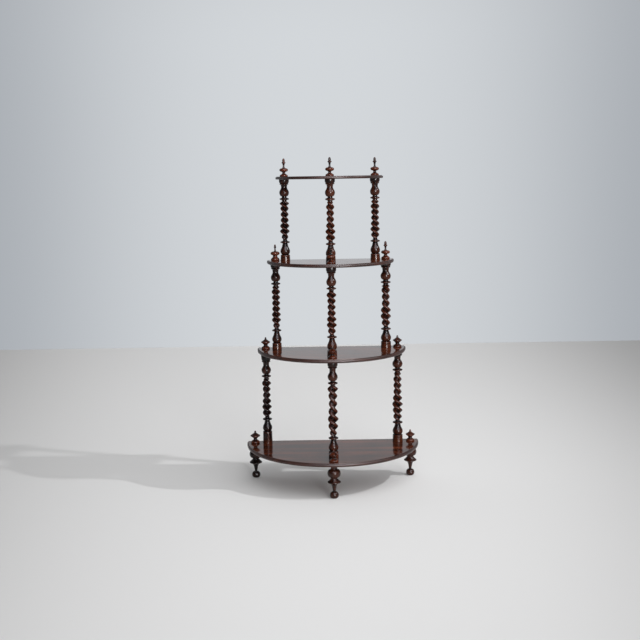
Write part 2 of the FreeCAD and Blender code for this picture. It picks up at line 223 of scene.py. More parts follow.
@dataclass(frozen=True)
class PolishedWood:
    """A dark cabinet wood under an old polish laid on by hand rubbing, with painted shade in its hollows and
    painted highlights on its ridges.
    """

    name: str
    slot: str
    grain: Grain
    deep: Colour
    body: Colour
    flame: Colour
    # painted shade: the colour that the hollows darken towards
    hollow: Colour
    # painted highlight: the colour that the ridges lighten towards
    ridge_highlight: Colour
    edge: Colour
    roughness: float
    specular: float
    moulded: float = 0.0        # how far worked parts take the edge's colour and dullness, from 0 to 1
    bump: float = 0.22

    ior: float = 1.5
    figure_at: tuple[float, ...] = (0.30, 0.50, 0.66, 0.80)     # the figure's stops: deep, body, flame, body
    cloud_share: float = 0.35
    pore_band: Band = (0.62, 0.72)
    pore_share: float = 0.55
    # where and how strongly the painted shade in hollows and the painted highlight on ridges are laid on
    hollow_shade_band: Band = (0.16, 0.50)
    hollow_shade_share: float = 0.85
    ridge_highlight_band: Band = (0.52, 0.86)
    ridge_highlight_share: float = 0.55
    worked_band: Band = (0.1, 0.7)
    edge_share: float = 0.8
    smudge_depth: float = 0.16      # roughness that smudges, the hollows' grime and the edge add
    grime_depth: float = 0.03
    grime_band: Band = (0.2, 0.5)
    edge_dullness: float = 0.30
    ripple_height: float = 0.0006   # in metres

    def material(self) -> bpy.types.Material:
        """The finish as a Blender material.

        Returns:
            A material that reads Object coordinates and two vertex attributes.
        """
        made = bpy.data.materials.new(self.name)
        made.use_nodes = True
        graph = Graph(made.node_tree)
        place = graph.node("ShaderNodeTexCoord").outputs["Object"]
        along = graph.node("ShaderNodeMapping", {}, {"Vector": place, "Scale": self.grain.value}).outputs[0]
        rub, worked = graph.attribute(RELIEF_SHADING), graph.attribute(WORKED)

        figure = graph.noise(along, scale=1.0, detail=7.0, distortion=0.7)
        clouds = graph.noise(place, scale=9.0, detail=3.0)
        pores = graph.noise(along, scale=7.0, detail=2.0)
        colour = graph.node(
            "ShaderNodeValToRGB",
            {"stops": zip(self.figure_at, (self.deep, self.body, self.flame, self.body))},
            {"Fac": figure + (clouds - 0.5) * self.cloud_share},
        ).outputs["Color"]
        colour = graph.mixed(pores.between(*self.pore_band) * self.pore_share, colour, self.deep)
        # Painted shade in the hollows, then a painted highlight on the ridges.
        colour = graph.mixed((1.0 - rub.between(*self.hollow_shade_band)) * self.hollow_shade_share, colour, self.hollow)
        colour = graph.mixed(rub.between(*self.ridge_highlight_band) * self.ridge_highlight_share, colour, self.ridge_highlight)
        moulding = worked.between(*self.worked_band) * self.moulded
        colour = graph.mixed(moulding * self.edge_share, colour, self.edge)

        smudges = graph.noise(place, scale=38.0, detail=5.0) * self.smudge_depth
        grime = (1.0 - rub.between(*self.grime_band)) * self.grime_depth
        polish = self.roughness - self.smudge_depth / 2
        ripple = graph.noise(place, scale=120.0, detail=2.0)
        bump = graph.node(
            "ShaderNodeBump",
            {},
            {"Strength": self.bump, "Distance": self.ripple_height, "Height": ripple * 0.5 + pores * 0.5},
        ).outputs["Normal"]
        shader = graph.node(
            "ShaderNodeBsdfPrincipled",
            {},
            {
                "Base Color": colour,
                "Roughness": smudges + grime + moulding * self.edge_dullness + polish,
                "IOR": self.ior,
                "Specular IOR Level": self.specular,
                "Normal": bump,
            },
        )
        graph.node("ShaderNodeOutputMaterial", {}, {"Surface": shader.outputs[0]})
        return made


# Each finish below gives the colours of its painted shade in hollows and its painted highlight on ridges.
BOARD_WOOD = PolishedWood(
    name="polished_board_wood",
    slot="board_wood",
    grain=Grain.ALONG_BOARD,
    deep=(0.020, 0.007, 0.004),
    body=(0.060, 0.016, 0.008),
    flame=(0.125, 0.032, 0.014),
    hollow=(0.010, 0.004, 0.003),
    ridge_highlight=(0.050, 0.014, 0.008),
    edge=(0.012, 0.0045, 0.0035),
    roughness=0.11,
    specular=0.50,
    moulded=1.0,
    bump=0.05,
)
POST_WOOD = PolishedWood(
    name="dark_turned_wood",
    slot="post_wood",
    grain=Grain.UP_THE_POST,
    deep=(0.002, 0.0008, 0.0007),
    body=(0.007, 0.0021, 0.0014),
    flame=(0.030, 0.0075, 0.0033),
    hollow=(0.001, 0.0006, 0.0005),
    ridge_highlight=(0.062, 0.015, 0.0055),
    edge=(0.009, 0.0027, 0.0018),
    roughness=0.25,
    specular=0.26,
)
FINIAL_WOOD = replace(
    POST_WOOD,
    name="red_turned_wood",
    slot="finial_wood",
    body=(0.020, 0.005, 0.0025),
    flame=(0.070, 0.015, 0.006),
    ridge_highlight=(0.090, 0.021, 0.008),
)
FOOT_WOOD = replace(
    POST_WOOD,
    name="foot_turned_wood",
    slot="foot_wood",
    body=(0.007, 0.0025, 0.0018),
    ridge_highlight=(0.034, 0.011, 0.0065),
)


# ---------------------------------------------------------------- turning
class Ring(NamedTuple):
    """One cross-section of a turned piece, in millimetres: round where ridge and waist agree."""

    height: float
    ridge: float
    waist: float
    turn: float = 0.0


class Outline:
    """A turned outline, drawn upwards as rings."""

    ROUND_CUTS = 7
    OGEE_CUTS = 11
    SLOPE_HOLLOW = 0.4

    def __init__(self, radius: float, height: float) -> None:
        """Starts the outline at a radius and height."""
        self.rings: list[Ring] = [Ring(height, radius, radius)]

    @property
    def radius(self) -> float:
        """The radius that the outline has reached."""
        return self.rings[-1].ridge

    @property
    def height(self) -> float:
        """The height that the outline has reached."""
        return self.rings[-1].height

    def line(self, radius: float, height: float) -> None:
        """A straight cut."""
        self.rings.append(Ring(height, radius, radius))

    def swell(self, radius: float, height: float) -> None:
        """A round cut that ends upright, as up to a bead's widest line.

        Args:
            radius: The radius that it reaches.
            height: The height that it reaches.
        """
        r0, h0 = self.radius, self.height
        for cut in range(1, self.ROUND_CUTS + 1):
            turn = math.pi / 2 * cut / self.ROUND_CUTS
            self.line(r0 + (radius - r0) * math.sin(turn), h0 + (height - h0) * (1 - math.cos(turn)))

    def fall(self, radius: float, height: float) -> None:
        """A round cut that starts upright, as from a bead's widest line.

        Args:
            radius: The radius that it reaches.
            height: The height that it reaches.
        """
        r0, h0 = self.radius, self.height
        for cut in range(1, self.ROUND_CUTS + 1):
            turn = math.pi / 2 * cut / self.ROUND_CUTS
            self.line(r0 + (radius - r0) * (1 - math.cos(turn)), h0 + (height - h0) * math.sin(turn))

    def ogee(self, radius: float, height: float) -> None:
        """An S-shaped sweep that is upright at both ends.

        Args:
            radius: The radius that it reaches.
            height: The height that it reaches.
        """
        r0, h0 = self.radius, self.height
        for cut in range(1, self.OGEE_CUTS + 1):
            share = cut / self.OGEE_CUTS
            self.line(r0 + (radius - r0) * (1 - math.cos(math.pi * share)) / 2, h0 + (height - h0) * share)

    def cove(self, radius: float, height: float, depth: float) -> None:
        """A hollowed slope: a straight cut pulled towards the axis.

        Args:
            radius: The radius that it reaches.
            height: The height that it reaches.
            depth: How far its middle is pulled in.
        """
        r0, h0 = self.radius, self.height
        for cut in range(1, self.ROUND_CUTS + 1):
            share = cut / self.ROUND_CUTS
            pulled = depth * math.sin(math.pi * share)
            self.line(r0 + (radius - r0) * share - pulled, h0 + (height - h0) * share)

    def disc(self, radius: float, half: float, rim: float, height: float, below: float, above: float) -> None:
        """A disc with a blunt rim, whose slopes spring from the radii below and above it.

        Args:
            radius: The rim's radius.
            half: Half the disc's thickness at its roots.
            rim: Half the thickness of the blunt rim.
            height: The rim's height.
            below: The radius under the lower slope.
            above: The radius over the upper slope.
        """
        self.line(below, height - half)
        self.cove(radius - rim * 0.5, height - rim, self.SLOPE_HOLLOW)
        self.swell(radius, height)
        self.fall(radius - rim * 0.5, height + rim)
        self.cove(above, height + half, self.SLOPE_HOLLOW)

    def scribe(self, height: float, depth: float = 0.9, width: float = 1.6) -> None:
        """A fine line cut round the piece.

        Args:
            height: Its height.
            depth: How deep it is.
            width: How wide it is.
        """
        radius = self.radius
        self.line(radius, height - width / 2)
        self.line(radius - depth, height)
        self.line(radius, height + width / 2)


@dataclass(frozen=True)
class BarleyTwist:
    """Two strands wound left-handed round each other; half a turn is one bead of the silhouette."""

    beads: int
    head: float                 # from the twist's top down to the first bead
    tail: float                 # from the last bead down to the twist's bottom
    head_bead: float            # half widths of the first, the widest and the last bead
    belly_bead: float
    tail_bead: float
    slim_bead: float = 15.5
    belly_at: float = 0.80      # the widest bead's share of the way down
    collar: float | None = None

    end: float = 8.4            # the round that the strands grow out of
    waist: float = 6.0          # the bottom of the groove between them
    slim_from: float = 0.22     # the share of the way down from which beads are slim
    belly_rise: float = 0.35    # the share over which they grow into the widest
    rings_per_bead: int = 22

    def bead(self, share: float) -> float:
        """The half width of a bead.

        Args:
            share: How far down the twist it is, from 0 at the first bead to 1 at the last.

        Returns:
            Its half width.
        """
        stages = (
            (0.0, self.head_bead),
            (self.slim_from, self.slim_bead),
            (self.belly_at - self.belly_rise, self.slim_bead),
            (self.belly_at, self.belly_bead),
            (1.0, self.tail_bead),
        )
        if share <= 0.0:
            return self.head_bead
        for (start, before), (stop, after) in zip(stages, stages[1:]):
            if share <= stop:
                ease = 0.5 - 0.5 * math.cos(math.pi * (share - start) / (stop - start))
                return before + (after - before) * ease
        return self.tail_bead

    def rings(self, bottom: float, top: float) -> list[Ring]:
        """The twist's cross-sections.

        Args:
            bottom: Height of the twist's lower end.
            top: Height of its upper end.

        Returns:
            Rings from the bottom up.
        """
        first, last = top - self.head, bottom + self.tail
        pitch = (first - last) / (self.beads - 1)
        steps = math.ceil((top - bottom) / pitch * self.rings_per_bead)
        made = []
        for step in range(steps + 1):
            height = bottom + (top - bottom) * step / steps
            growth = min(1.0, (height - bottom) / (pitch / 2), (top - height) / (pitch / 2))
            growth = math.sin(math.pi / 2 * growth)
            bead = self.bead((first - height) / (first - last))
            made.append(
                Ring(
                    height,
                    self.end + (bead - self.end) * growth,
                    self.end + (self.waist - self.end) * growth,
                    -math.pi * (height - last) / pitch,
                )
            )
        return made


class Lathe:
    """Makes a closed skin from rings, by extruding a circle upwards."""

    SIDES = 48
    STRAND_FULLNESS = 1.6
    RELIEF_GAIN = 2.6
    RELIEF_SPREAD = 2              # how many times the relief value is evened out between neighbours
    DULLNESS = 0.25             # what the relief value loses above a given height: painted shade under the board on a post's upper block, a darker top over the ball on a finial
    FLAT = 0.00001              # how near its ends in metres a piece counts as flat
    LEAST_REACH = 1e-7          # keeps the relief value finite where neighbours meet

    @classmethod
    def skin(cls, rings: list[Ring]) -> bmesh.types.BMesh:
        """The skin through the rings, about the Z axis, in metres.

        Args:
            rings: The cross-sections from the bottom up.

        Returns:
            A closed mesh with capped ends.
        """
        bm = bmesh.new()
        bmesh.ops.create_circle(bm, segments=cls.SIDES, radius=1.0, cap_ends=False)
        verts, edges = list(bm.verts), list(bm.edges)
        cls._shape(verts, rings[0])
        bmesh.ops.holes_fill(bm, edges=edges, sides=0)
        for ring in rings[1:]:
            grown = bmesh.ops.extrude_edge_only(bm, edges=edges)["geom"]
            verts = [item for item in grown if isinstance(item, bmesh.types.BMVert)]
            fresh = set(verts)
            edges = [
                item for item in grown
                if isinstance(item, bmesh.types.BMEdge) and item.verts[0] in fresh and item.verts[1] in fresh
            ]
            cls._shape(verts, ring)
        bmesh.ops.holes_fill(bm, edges=edges, sides=0)
        bmesh.ops.recalc_face_normals(bm, faces=bm.faces[:])
        return bm

    @classmethod
    def _shape(cls, verts: list[bmesh.types.BMVert], ring: Ring) -> None:
        """Moves a circle of vertices onto a ring.

        Args:
            verts: The circle, about the Z axis.
            ring: The ring that it takes the shape of.
        """
        for vert in verts:
            around = math.atan2(vert.co.y, vert.co.x)
            fullness = abs(math.cos(around - ring.turn)) ** cls.STRAND_FULLNESS
            radius = (ring.waist + (ring.ridge - ring.waist) * fullness) * MM
            vert.co = Vector((radius * math.cos(around), radius * math.sin(around), ring.height * MM))

    @classmethod
    def mark_relief_shading(cls, bm: bmesh.types.BMesh, bias: float, dull_above: float = math.inf) -> None:
        """Writes how far each vertex stands proud of its neighbours, from 0 in a hollow to 1 on a ridge; the
        finishes paint shade in the hollows and highlights on the ridges from it.

        Args:
            bm: The mesh.
            bias: What is added all over: the piece's tone, with its painted light and shade.
            dull_above: Height in metres from which the piece is left dark; on a post this is painted shade
                under the board.
        """
        bm.normal_update()
        bm.verts.index_update()
        around = [[edge.other_vert(vert) for edge in vert.link_edges] for vert in bm.verts]
        rub = []
        for vert, near in zip(bm.verts, around):
            middle = sum((other.co for other in near), Vector()) / len(near)
            reach = sum((other.co - vert.co).length for other in near) / len(near)
            rub.append((vert.co - middle).dot(vert.normal) / max(reach, cls.LEAST_REACH))
        for _ in range(cls.RELIEF_SPREAD):
            rub = [
                0.5 * own + 0.5 * sum(rub[other.index] for other in near) / len(near)
                for own, near in zip(rub, around)
            ]
        lowest, highest = min(vert.co.z for vert in bm.verts), max(vert.co.z for vert in bm.verts)
        shading_layer, worked_layer = bm.verts.layers.float.new(RELIEF_SHADING), bm.verts.layers.float.new(WORKED)
        for vert, own in zip(bm.verts, rub):
            flat = min(vert.co.z - lowest, highest - vert.co.z) < cls.FLAT
            own = 0.5 + bias + (0.0 if flat else cls.RELIEF_GAIN * own)
            vert[shading_layer] = min(1.0, max(0.0, own - (cls.DULLNESS if vert.co.z > dull_above else 0.0)))
            vert[worked_layer] = 0.0 if flat else 1.0


# ---------------------------------------------------------------- pieces
class Maker:
    """Turns finished meshes into named pieces that ride on the frame."""

    def __init__(self) -> None:
        """Makes each finish once."""
        self.finishes = {wood.slot: wood.material() for wood in (BOARD_WOOD, POST_WOOD, FINIAL_WOOD, FOOT_WOOD)}

    def piece(self, name: str, bm: bmesh.types.BMesh, node: str, slot: str) -> bpy.types.Object:
        """Makes one piece that stands for a node of the frame.

        Args:
            name: The piece's name.
            bm: Its mesh, in the frame's place; it is freed.
            node: The node that it stands for.
            slot: The material slot that it takes its finish from.

        Returns:
            The piece.
        """
        mesh = bpy.data.meshes.new(name)
        bm.to_mesh(mesh)
        bm.free()
        mesh.shade_smooth()
        mesh.set_sharp_from_angle(angle=SHARP_ANGLE)
        mesh.materials.append(self.finishes[slot])
        made = bpy.data.objects.new(name, mesh)
        bpy.context.scene.collection.objects.link(made)
        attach(made, "root")
        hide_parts(node)
        log.info("%s: %d faces, stands for %s", name, len(mesh.polygons), node)
        return made


class Side(Enum):
    """Where a post, finial or foot stands on its board."""

    LEFT = "left"
    RIGHT = "right"
    FRONT = "front"


class Level(Enum):
    """The four boards, from the floor up."""

    BOTTOM = "bottom"
    LOWER = "lower"
    UPPER = "upper"
    TOP = "top"


def node_axis(node: str) -> Vector:
    """The upright axis through the middle of a node's box, at the floor."""
    low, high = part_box(node)
    return Vector(((low.x + high.x) / 2, (low.y + high.y) / 2, 0.0))


@dataclass(frozen=True)
class Board:
    """A half-round board with a moulded edge."""

    level: Level
    ledge: float = 4.2          # how far the moulding stands out past the lip
    quirk: float = 1.1          # the flat of the small step under the lip
    undercut: float = 3.4
    step_share: float = 0.16
    belly_share: float = 0.50
    lip_round: float = 0.5
    lip_middle: float = 0.3     # how far in its middle lies, as a share of it
    margin: float = 1.5         # a narrow rim of the flats, which keeps the rest of them shaded flat
    arc_steps: int = 120
    cuts: int = 8
    weld: float = 0.02          # vertices this near are joined

    @property
    def node(self) -> str:
        """The node that the board stands for."""
        return f"shelf_{self.level.value}"

    def outline(self, thickness: float, radius: float) -> list[Cut]:
        """The board's edge from its underside to its top.

        Args:
            thickness: The board's thickness in millimetres.
            radius: The board's radius in millimetres.

        Returns:
            Its cuts, with heights above the underside.
        """
        belly = self.belly_share * thickness
        ledge_height = (1 - self.step_share) * thickness
        lip = radius - self.ledge
        points = [(0.0, 0.0), (radius - self.undercut - self.margin, 0.0), (radius - self.undercut, 0.0)]
        for cut in range(1, self.cuts + 1):
            turn = math.pi / 2 * cut / self.cuts
            points.append((radius - self.undercut * (1 - math.sin(turn)), belly * (1 - math.cos(turn))))
        for cut in range(1, self.cuts + 1):
            turn = math.pi / 2 * cut / self.cuts
            points.append((
                radius - (self.ledge - self.quirk) * (1 - math.cos(turn)),
                belly + (ledge_height - belly) * math.sin(turn),
            ))
        points += [
            (lip, ledge_height),
            (lip, thickness - self.lip_round),
            (lip - self.lip_round * self.lip_middle, thickness - self.lip_round * self.lip_middle),
            (lip - self.lip_round, thickness),
            (lip - self.lip_round - self.margin, thickness),
            (0.0, thickness),
        ]
        return points

    def make(self, maker: Maker) -> bpy.types.Object:
        """Builds and dresses the board.

        Args:
            maker: What dresses it.

        Returns:
            The piece.
        """
        low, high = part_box(self.node)
        thickness, radius = (high.z - low.z) / MM, high.x / MM
        bm = bmesh.new()
        chain = [
            bm.verts.new((-r * MM, high.y, low.z + h * MM)) for r, h in self.outline(thickness, radius)
        ]
        edges = [bm.edges.new(pair) for pair in zip(chain, chain[1:])]
        bmesh.ops.spin(
            bm,
            geom=chain + edges,
            cent=(0.0, high.y, 0.0),
            axis=(0.0, 0.0, 1.0),
            angle=math.pi,
            steps=self.arc_steps,
            use_merge=False,
        )
        bmesh.ops.remove_doubles(bm, verts=bm.verts[:], dist=self.weld * MM)
        rim = [edge for edge in bm.edges if edge.is_boundary]
        bmesh.ops.contextual_create(bm, geom=rim)
        bmesh.ops.recalc_face_normals(bm, faces=bm.faces[:])
        Lathe.mark_relief_shading(bm, 0.0)
        return maker.piece(f"{self.level.value}_board", bm, self.node, BOARD_WOOD.slot)


@dataclass(frozen=True)
class Post:
    """A barley-twist post between two boards."""

    level: Level                # the board that it carries
    side: Side
    twist: BarleyTwist
    upper_block: float
    lower_block: float
    girth: float = 1.0
    tone_and_light: float = 0.0           # added to the relief value all over: more is lighter; partly the wood's own tone, partly painted light and shade by where the piece stands towards the lamps

    block: float = 18.9
    pinch: float = 13.0
    barrel: float = 19.3
    barrel_end: float = 15.0
    flange: float = 17.6
    vase: float = 18.8
    vase_neck: float = 11.4
    disc: float = 18.4
    disc_half: float = 6.0
    disc_rim: float = 2.2
    disc_neck: float = 9.2      # the necks on both sides of a disc
    flange_half: float = 2.4
    flange_lip: float = 1.4     # how far the flange's slopes stop short of its rim
    flange_slope: float = 0.6   # where they stop, as a share of its half thickness
    collar_half: float = 4.5
    barrel_widest: float = 0.65     # the barrel's widest line, as a share of its block's height

    flange_drop: float = 3.2    # down from the upper block
    neck_drop: float = 15.0
    vase_drop: float = 35.5
    disc_neck_drop: float = 51.0
    disc_drop: float = 60.5
    twist_drop: float = 68.5
    collar_drop: float = 16.0   # down from the upper disc

    pinch_rise: float = 3.0     # up from the lower block
    vase_rise: float = 15.0
    neck_rise: float = 39.0
    disc_rise: float = 50.0
    twist_rise: float = 58.0

    foot_in: float = 0.4        # the lower block's foot, cut line, rim and top lie this far inside its radius
    scribe_in: float = 0.6
    rim_in: float = 0.8
    top_in: float = 1.6
    foot_round: float = 0.5     # the height of its rounded foot
    taper_drop: float = 8.0     # down from its top: the end of its taper, the cut line and the rim
    scribe_drop: float = 6.6
    rim_drop: float = 1.0

    @property
    def node(self) -> str:
        """The node that the post stands for."""
        bay = {Level.TOP: "top", Level.UPPER: "middle", Level.LOWER: "lower"}[self.level]
        return f"post_{bay}_{self.side.value}"

    def lower_end(self) -> Outline:
        """Block, pinch, vase, disc and neck.

        Returns:
            The outline up to the twist.
        """
        top, neck = self.lower_block, self.disc_neck
        outline = Outline(self.block - self.foot_in, 0.0)
        outline.line(self.block, self.foot_round)
        outline.line(self.block - self.scribe_in, top - self.taper_drop)
        outline.scribe(top - self.scribe_drop)
        outline.line(self.block - self.rim_in, top - self.rim_drop)
        outline.line(self.block - self.top_in, top)
        outline.line(self.pinch, top + self.pinch_rise)
        outline.swell(self.vase, top + self.vase_rise)
        outline.ogee(self.vase_neck, top + self.neck_rise)
        outline.disc(self.disc, self.disc_half, self.disc_rim, top + self.disc_rise, neck, neck)
        return outline

    def upper_end(self, foot: float, top: float, twist_top: float) -> Outline:
        """Neck over the twist, disc, vase, flange and barrel-shaped block.

        Args:
            foot: Height of the block's lower end.
            top: Height of the board's underside.
            twist_top: Height where the twist ends.

        Returns:
            The outline up to the board.
        """
        neck = self.disc_neck
        outline = Outline(neck, twist_top)
        outline.disc(self.disc, self.disc_half, self.disc_rim, foot - self.disc_drop, neck, neck)
        outline.line(neck, foot - self.disc_neck_drop)
        outline.swell(self.vase, foot - self.vase_drop)
        outline.ogee(self.vase_neck, foot - self.neck_drop)
        flange, slope = foot - self.flange_drop, self.flange_half * self.flange_slope
        outline.cove(self.vase_neck + self.flange_lip, flange - self.flange_half - self.flange_lip, depth=0.2)
        outline.cove(self.flange - self.flange_lip, flange - slope, depth=0.5)
        outline.swell(self.flange, flange)
        outline.fall(self.flange - self.flange_lip, flange + slope)
        outline.line(self.barrel_end, flange + self.flange_half)
        outline.swell(self.barrel, foot + self.barrel_widest * (top - foot))
        outline.fall(self.block, top)
        return outline

    def ringed(self, rings: list[Ring], radius: float, middle: float) -> list[Ring]:
        """Works a plain collar into the twist.

        Args:
            rings: The twist's rings.
            radius: The collar's radius.
            middle: Its height.

        Returns:
            The rings with the collar in them.
        """
        made = []
        for ring in rings:
            away = abs(ring.height - middle) / self.collar_half
            if away >= 1.0:
                made.append(ring)
                continue
            collar = radius - (radius - self.disc_neck) * away
            made.append(ring._replace(ridge=max(ring.ridge * away, collar), waist=max(ring.waist, collar)))
        return made

    def make(self, maker: Maker) -> bpy.types.Object:
        """Builds and dresses the post.

        Args:
            maker: What dresses it.

        Returns:
            The piece.
        """
        below = {Level.TOP: Level.UPPER, Level.UPPER: Level.LOWER, Level.LOWER: Level.BOTTOM}[self.level]
        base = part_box(f"shelf_{below.value}")[1].z
        top = (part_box(f"shelf_{self.level.value}")[0].z - base) / MM
        foot = top - self.upper_block
        twist_bottom, twist_top = self.lower_block + self.twist_rise, foot - self.twist_drop
        twist = self.twist.rings(twist_bottom, twist_top)
        if self.twist.collar:
            twist = self.ringed(twist, self.twist.collar, foot - self.disc_drop - self.collar_drop)
        rings = self.lower_end().rings + twist + self.upper_end(foot, top, twist_top).rings
        bm = Lathe.skin([
            ring._replace(ridge=ring.ridge * self.girth, waist=ring.waist * self.girth) for ring in rings
        ])
        bmesh.ops.translate(bm, verts=bm.verts[:], vec=node_axis(self.node) + Vector((0.0, 0.0, base)))
        # The upper block, under the board, is darkened: painted shade.
        Lathe.mark_relief_shading(bm, self.tone_and_light, base + foot * MM)
        name = f"{self.node.split('_')[1]}_{self.side.value}_post"
        return maker.piece(name, bm, self.node, POST_WOOD.slot)


@dataclass(frozen=True)
class FinialForm:
    """The rings of a finial."""

    bun: Cut
    neck: Cut
    ball: Cut
    ball_half: float
    stem: Cut
    bud: Cut
    height: float
    collar: Cut | None = None
    seat: float = 15.0
    tip: float = 0.8
    shoulder: float = 2.6       # how far the ball's rounds stop short of the neck and stem
    collar_half: float = 2.6    # half the collar's thickness
    pointed: bool = False       # the ball has straight slopes up to a blunt rim
    rim: float = 1.8            # half the thickness of that rim
    fillet: float = 1.0         # how much the neck widens into those slopes
    hollow: float = 0.5         # how deep its slopes are hollowed
    bud_neck: float = 0.7       # how much slimmer than the bud the wood over the collar is

    def outline(self) -> Outline:
        """The turned form.

        Returns:
            The outline above the board.
        """
        outline = Outline(self.seat, 0.0)
        outline.swell(*self.bun)
        outline.ogee(*self.neck)
        radius, height = self.ball
        if self.pointed:
            below, above = self.neck[0] + self.fillet, self.stem[0] + self.shoulder
            outline.disc(radius, self.ball_half, self.rim, height, below, above)
        else:
            outline.cove(self.neck[0] + self.shoulder, height - self.ball_half, self.hollow)
            outline.swell(radius, height)
            outline.fall(self.stem[0] + self.shoulder, height + self.ball_half)
        outline.cove(*self.stem, self.hollow)
        if self.collar:
            radius, height = self.collar
            outline.cove(radius - self.shoulder, height - self.collar_half, self.hollow)
            outline.swell(radius, height)
            outline.fall(self.bud[0] - self.bud_neck, height + self.collar_half)
        outline.swell(*self.bud)
        outline.fall(self.tip, self.height)
        return outline


TOP_SPIRE = FinialForm(
    bun=(16.0, 3.4), neck=(5.3, 13.5), ball=(16.8, 25.3), ball_half=7.0, stem=(3.3, 39.0), collar=(7.8, 53.0),
    bud=(5.0, 60.0), height=69.3,
)
UPPER_SPIRE = replace(TOP_SPIRE, bun=(17.0, 4.2), neck=(6.2, 15.7), ball=(17.4, 26.7))
SLIM_TIPPED_SPIRE = FinialForm(
    bun=(17.0, 4.2), neck=(8.6, 16.3), ball=(18.0, 28.2), ball_half=7.4, stem=(3.0, 43.5), collar=(5.0, 51.5),
    bud=(3.7, 55.5), height=62.5, shoulder=1.6, collar_half=2.2,
)
KNOB = FinialForm(
    bun=(17.2, 3.5), neck=(7.6, 13.9), ball=(18.0, 26.6), ball_half=9.4, stem=(3.7, 38.5), bud=(3.7, 40.0),
    height=46.0, pointed=True,
)
TALL_KNOB = FinialForm(
    bun=(18.0, 4.5), neck=(6.6, 17.0), ball=(19.4, 30.2), ball_half=10.4, stem=(3.7, 43.5), bud=(3.7, 44.7),
    height=50.5, pointed=True,
)


@dataclass(frozen=True)
class Finial:
    """A turned finial over a post or foot."""

    level: Level
    side: Side
    form: FinialForm
    # added to the relief value all over: partly the wood's own tone, partly painted light and shade by where
    # the finial stands towards the lamps
    tone_and_light: float = 0.0

    def make(self, maker: Maker) -> bpy.types.Object:
        """Builds and dresses the finial.

        Args:
            maker: What dresses it.

        Returns:
            The piece.
        """
        node = f"finial_{self.level.value}_{self.side.value}"
        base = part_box(f"shelf_{self.level.value}")[1].z
        bm = Lathe.skin(self.form.outline().rings)
        bmesh.ops.translate(bm, verts=bm.verts[:], vec=node_axis(node) + Vector((0.0, 0.0, base)))
        Lathe.mark_relief_shading(bm, self.tone_and_light, base + (self.form.ball[1] + self.form.ball_half) * MM)
        return maker.piece(f"{self.level.value}_{self.side.value}_finial", bm, node, FINIAL_WOOD.slot)


@dataclass(frozen=True)
class Foot:
    """A turned foot: ball, slender ankle, disc, waist, bun and neck."""

    side: Side
    # added to the relief value all over: partly the wood's own tone, partly painted light and shade by where
    # the foot stands towards the lamps
    tone_and_light: float = 0.0

    sole: float = 9.0
    ball: Cut = (16.8, 11.5)
    ankle: Cut = (5.6, 25.0)
    ankle_top: Cut = (5.6, 28.5)
    stalk: Cut = (8.6, 46.5)
    stalk_top: Cut = (9.4, 48.0)
    cup: Cut = (12.8, 54.5)
    disc: Cut = (25.2, 62.5)
    disc_lip: float = 0.6       # how far the disc's slopes stop short of its rim
    disc_half: float = 1.5
    waist: Cut = (13.0, 76.0)
    bun_root: Cut = (14.5, 81.0)
    bun: Cut = (25.0, 96.5)
    bun_top: Cut = (15.5, 110.5)
    neck: Cut = (12.0, 116.5)
    seat: float = 14.0
    seat_thickness: float = 6.0

    def outline(self, top: float) -> Outline:
        """The turned form.

        Args:
            top: Height of the board's underside.

        Returns:
            The outline from the floor up.
        """
        radius, height = self.disc
        outline = Outline(self.sole, 0.0)
        outline.swell(*self.ball)
        outline.fall(*self.ankle)
        outline.line(*self.ankle_top)
        outline.cove(*self.stalk, depth=0.2)
        outline.line(*self.stalk_top)
        outline.cove(*self.cup, depth=0.5)
        outline.cove(radius - self.disc_lip, height - self.disc_half, depth=0.8)
        outline.swell(radius, height)
        outline.fall(radius - self.disc_lip, height + self.disc_half)
        outline.cove(*self.waist, depth=0.8)
        outline.cove(*self.bun_root, depth=0.5)
        outline.swell(*self.bun)
        outline.fall(*self.bun_top)
        outline.cove(*self.neck, depth=0.6)
        outline.line(self.seat, top - self.seat_thickness)
        outline.line(self.seat, top)
        return outline

    def make(self, maker: Maker) -> bpy.types.Object:
        """Builds and dresses the foot.

        Args:
            maker: What dresses it.

        Returns:
            The piece.
        """
        node = f"foot_{self.side.value}"
        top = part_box("shelf_bottom")[0].z / MM
        bm = Lathe.skin(self.outline(top).rings)
        bmesh.ops.translate(bm, verts=bm.verts[:], vec=node_axis(node))
        Lathe.mark_relief_shading(bm, self.tone_and_light)
        return maker.piece(f"{self.side.value}_foot", bm, node, FOOT_WOOD.slot)


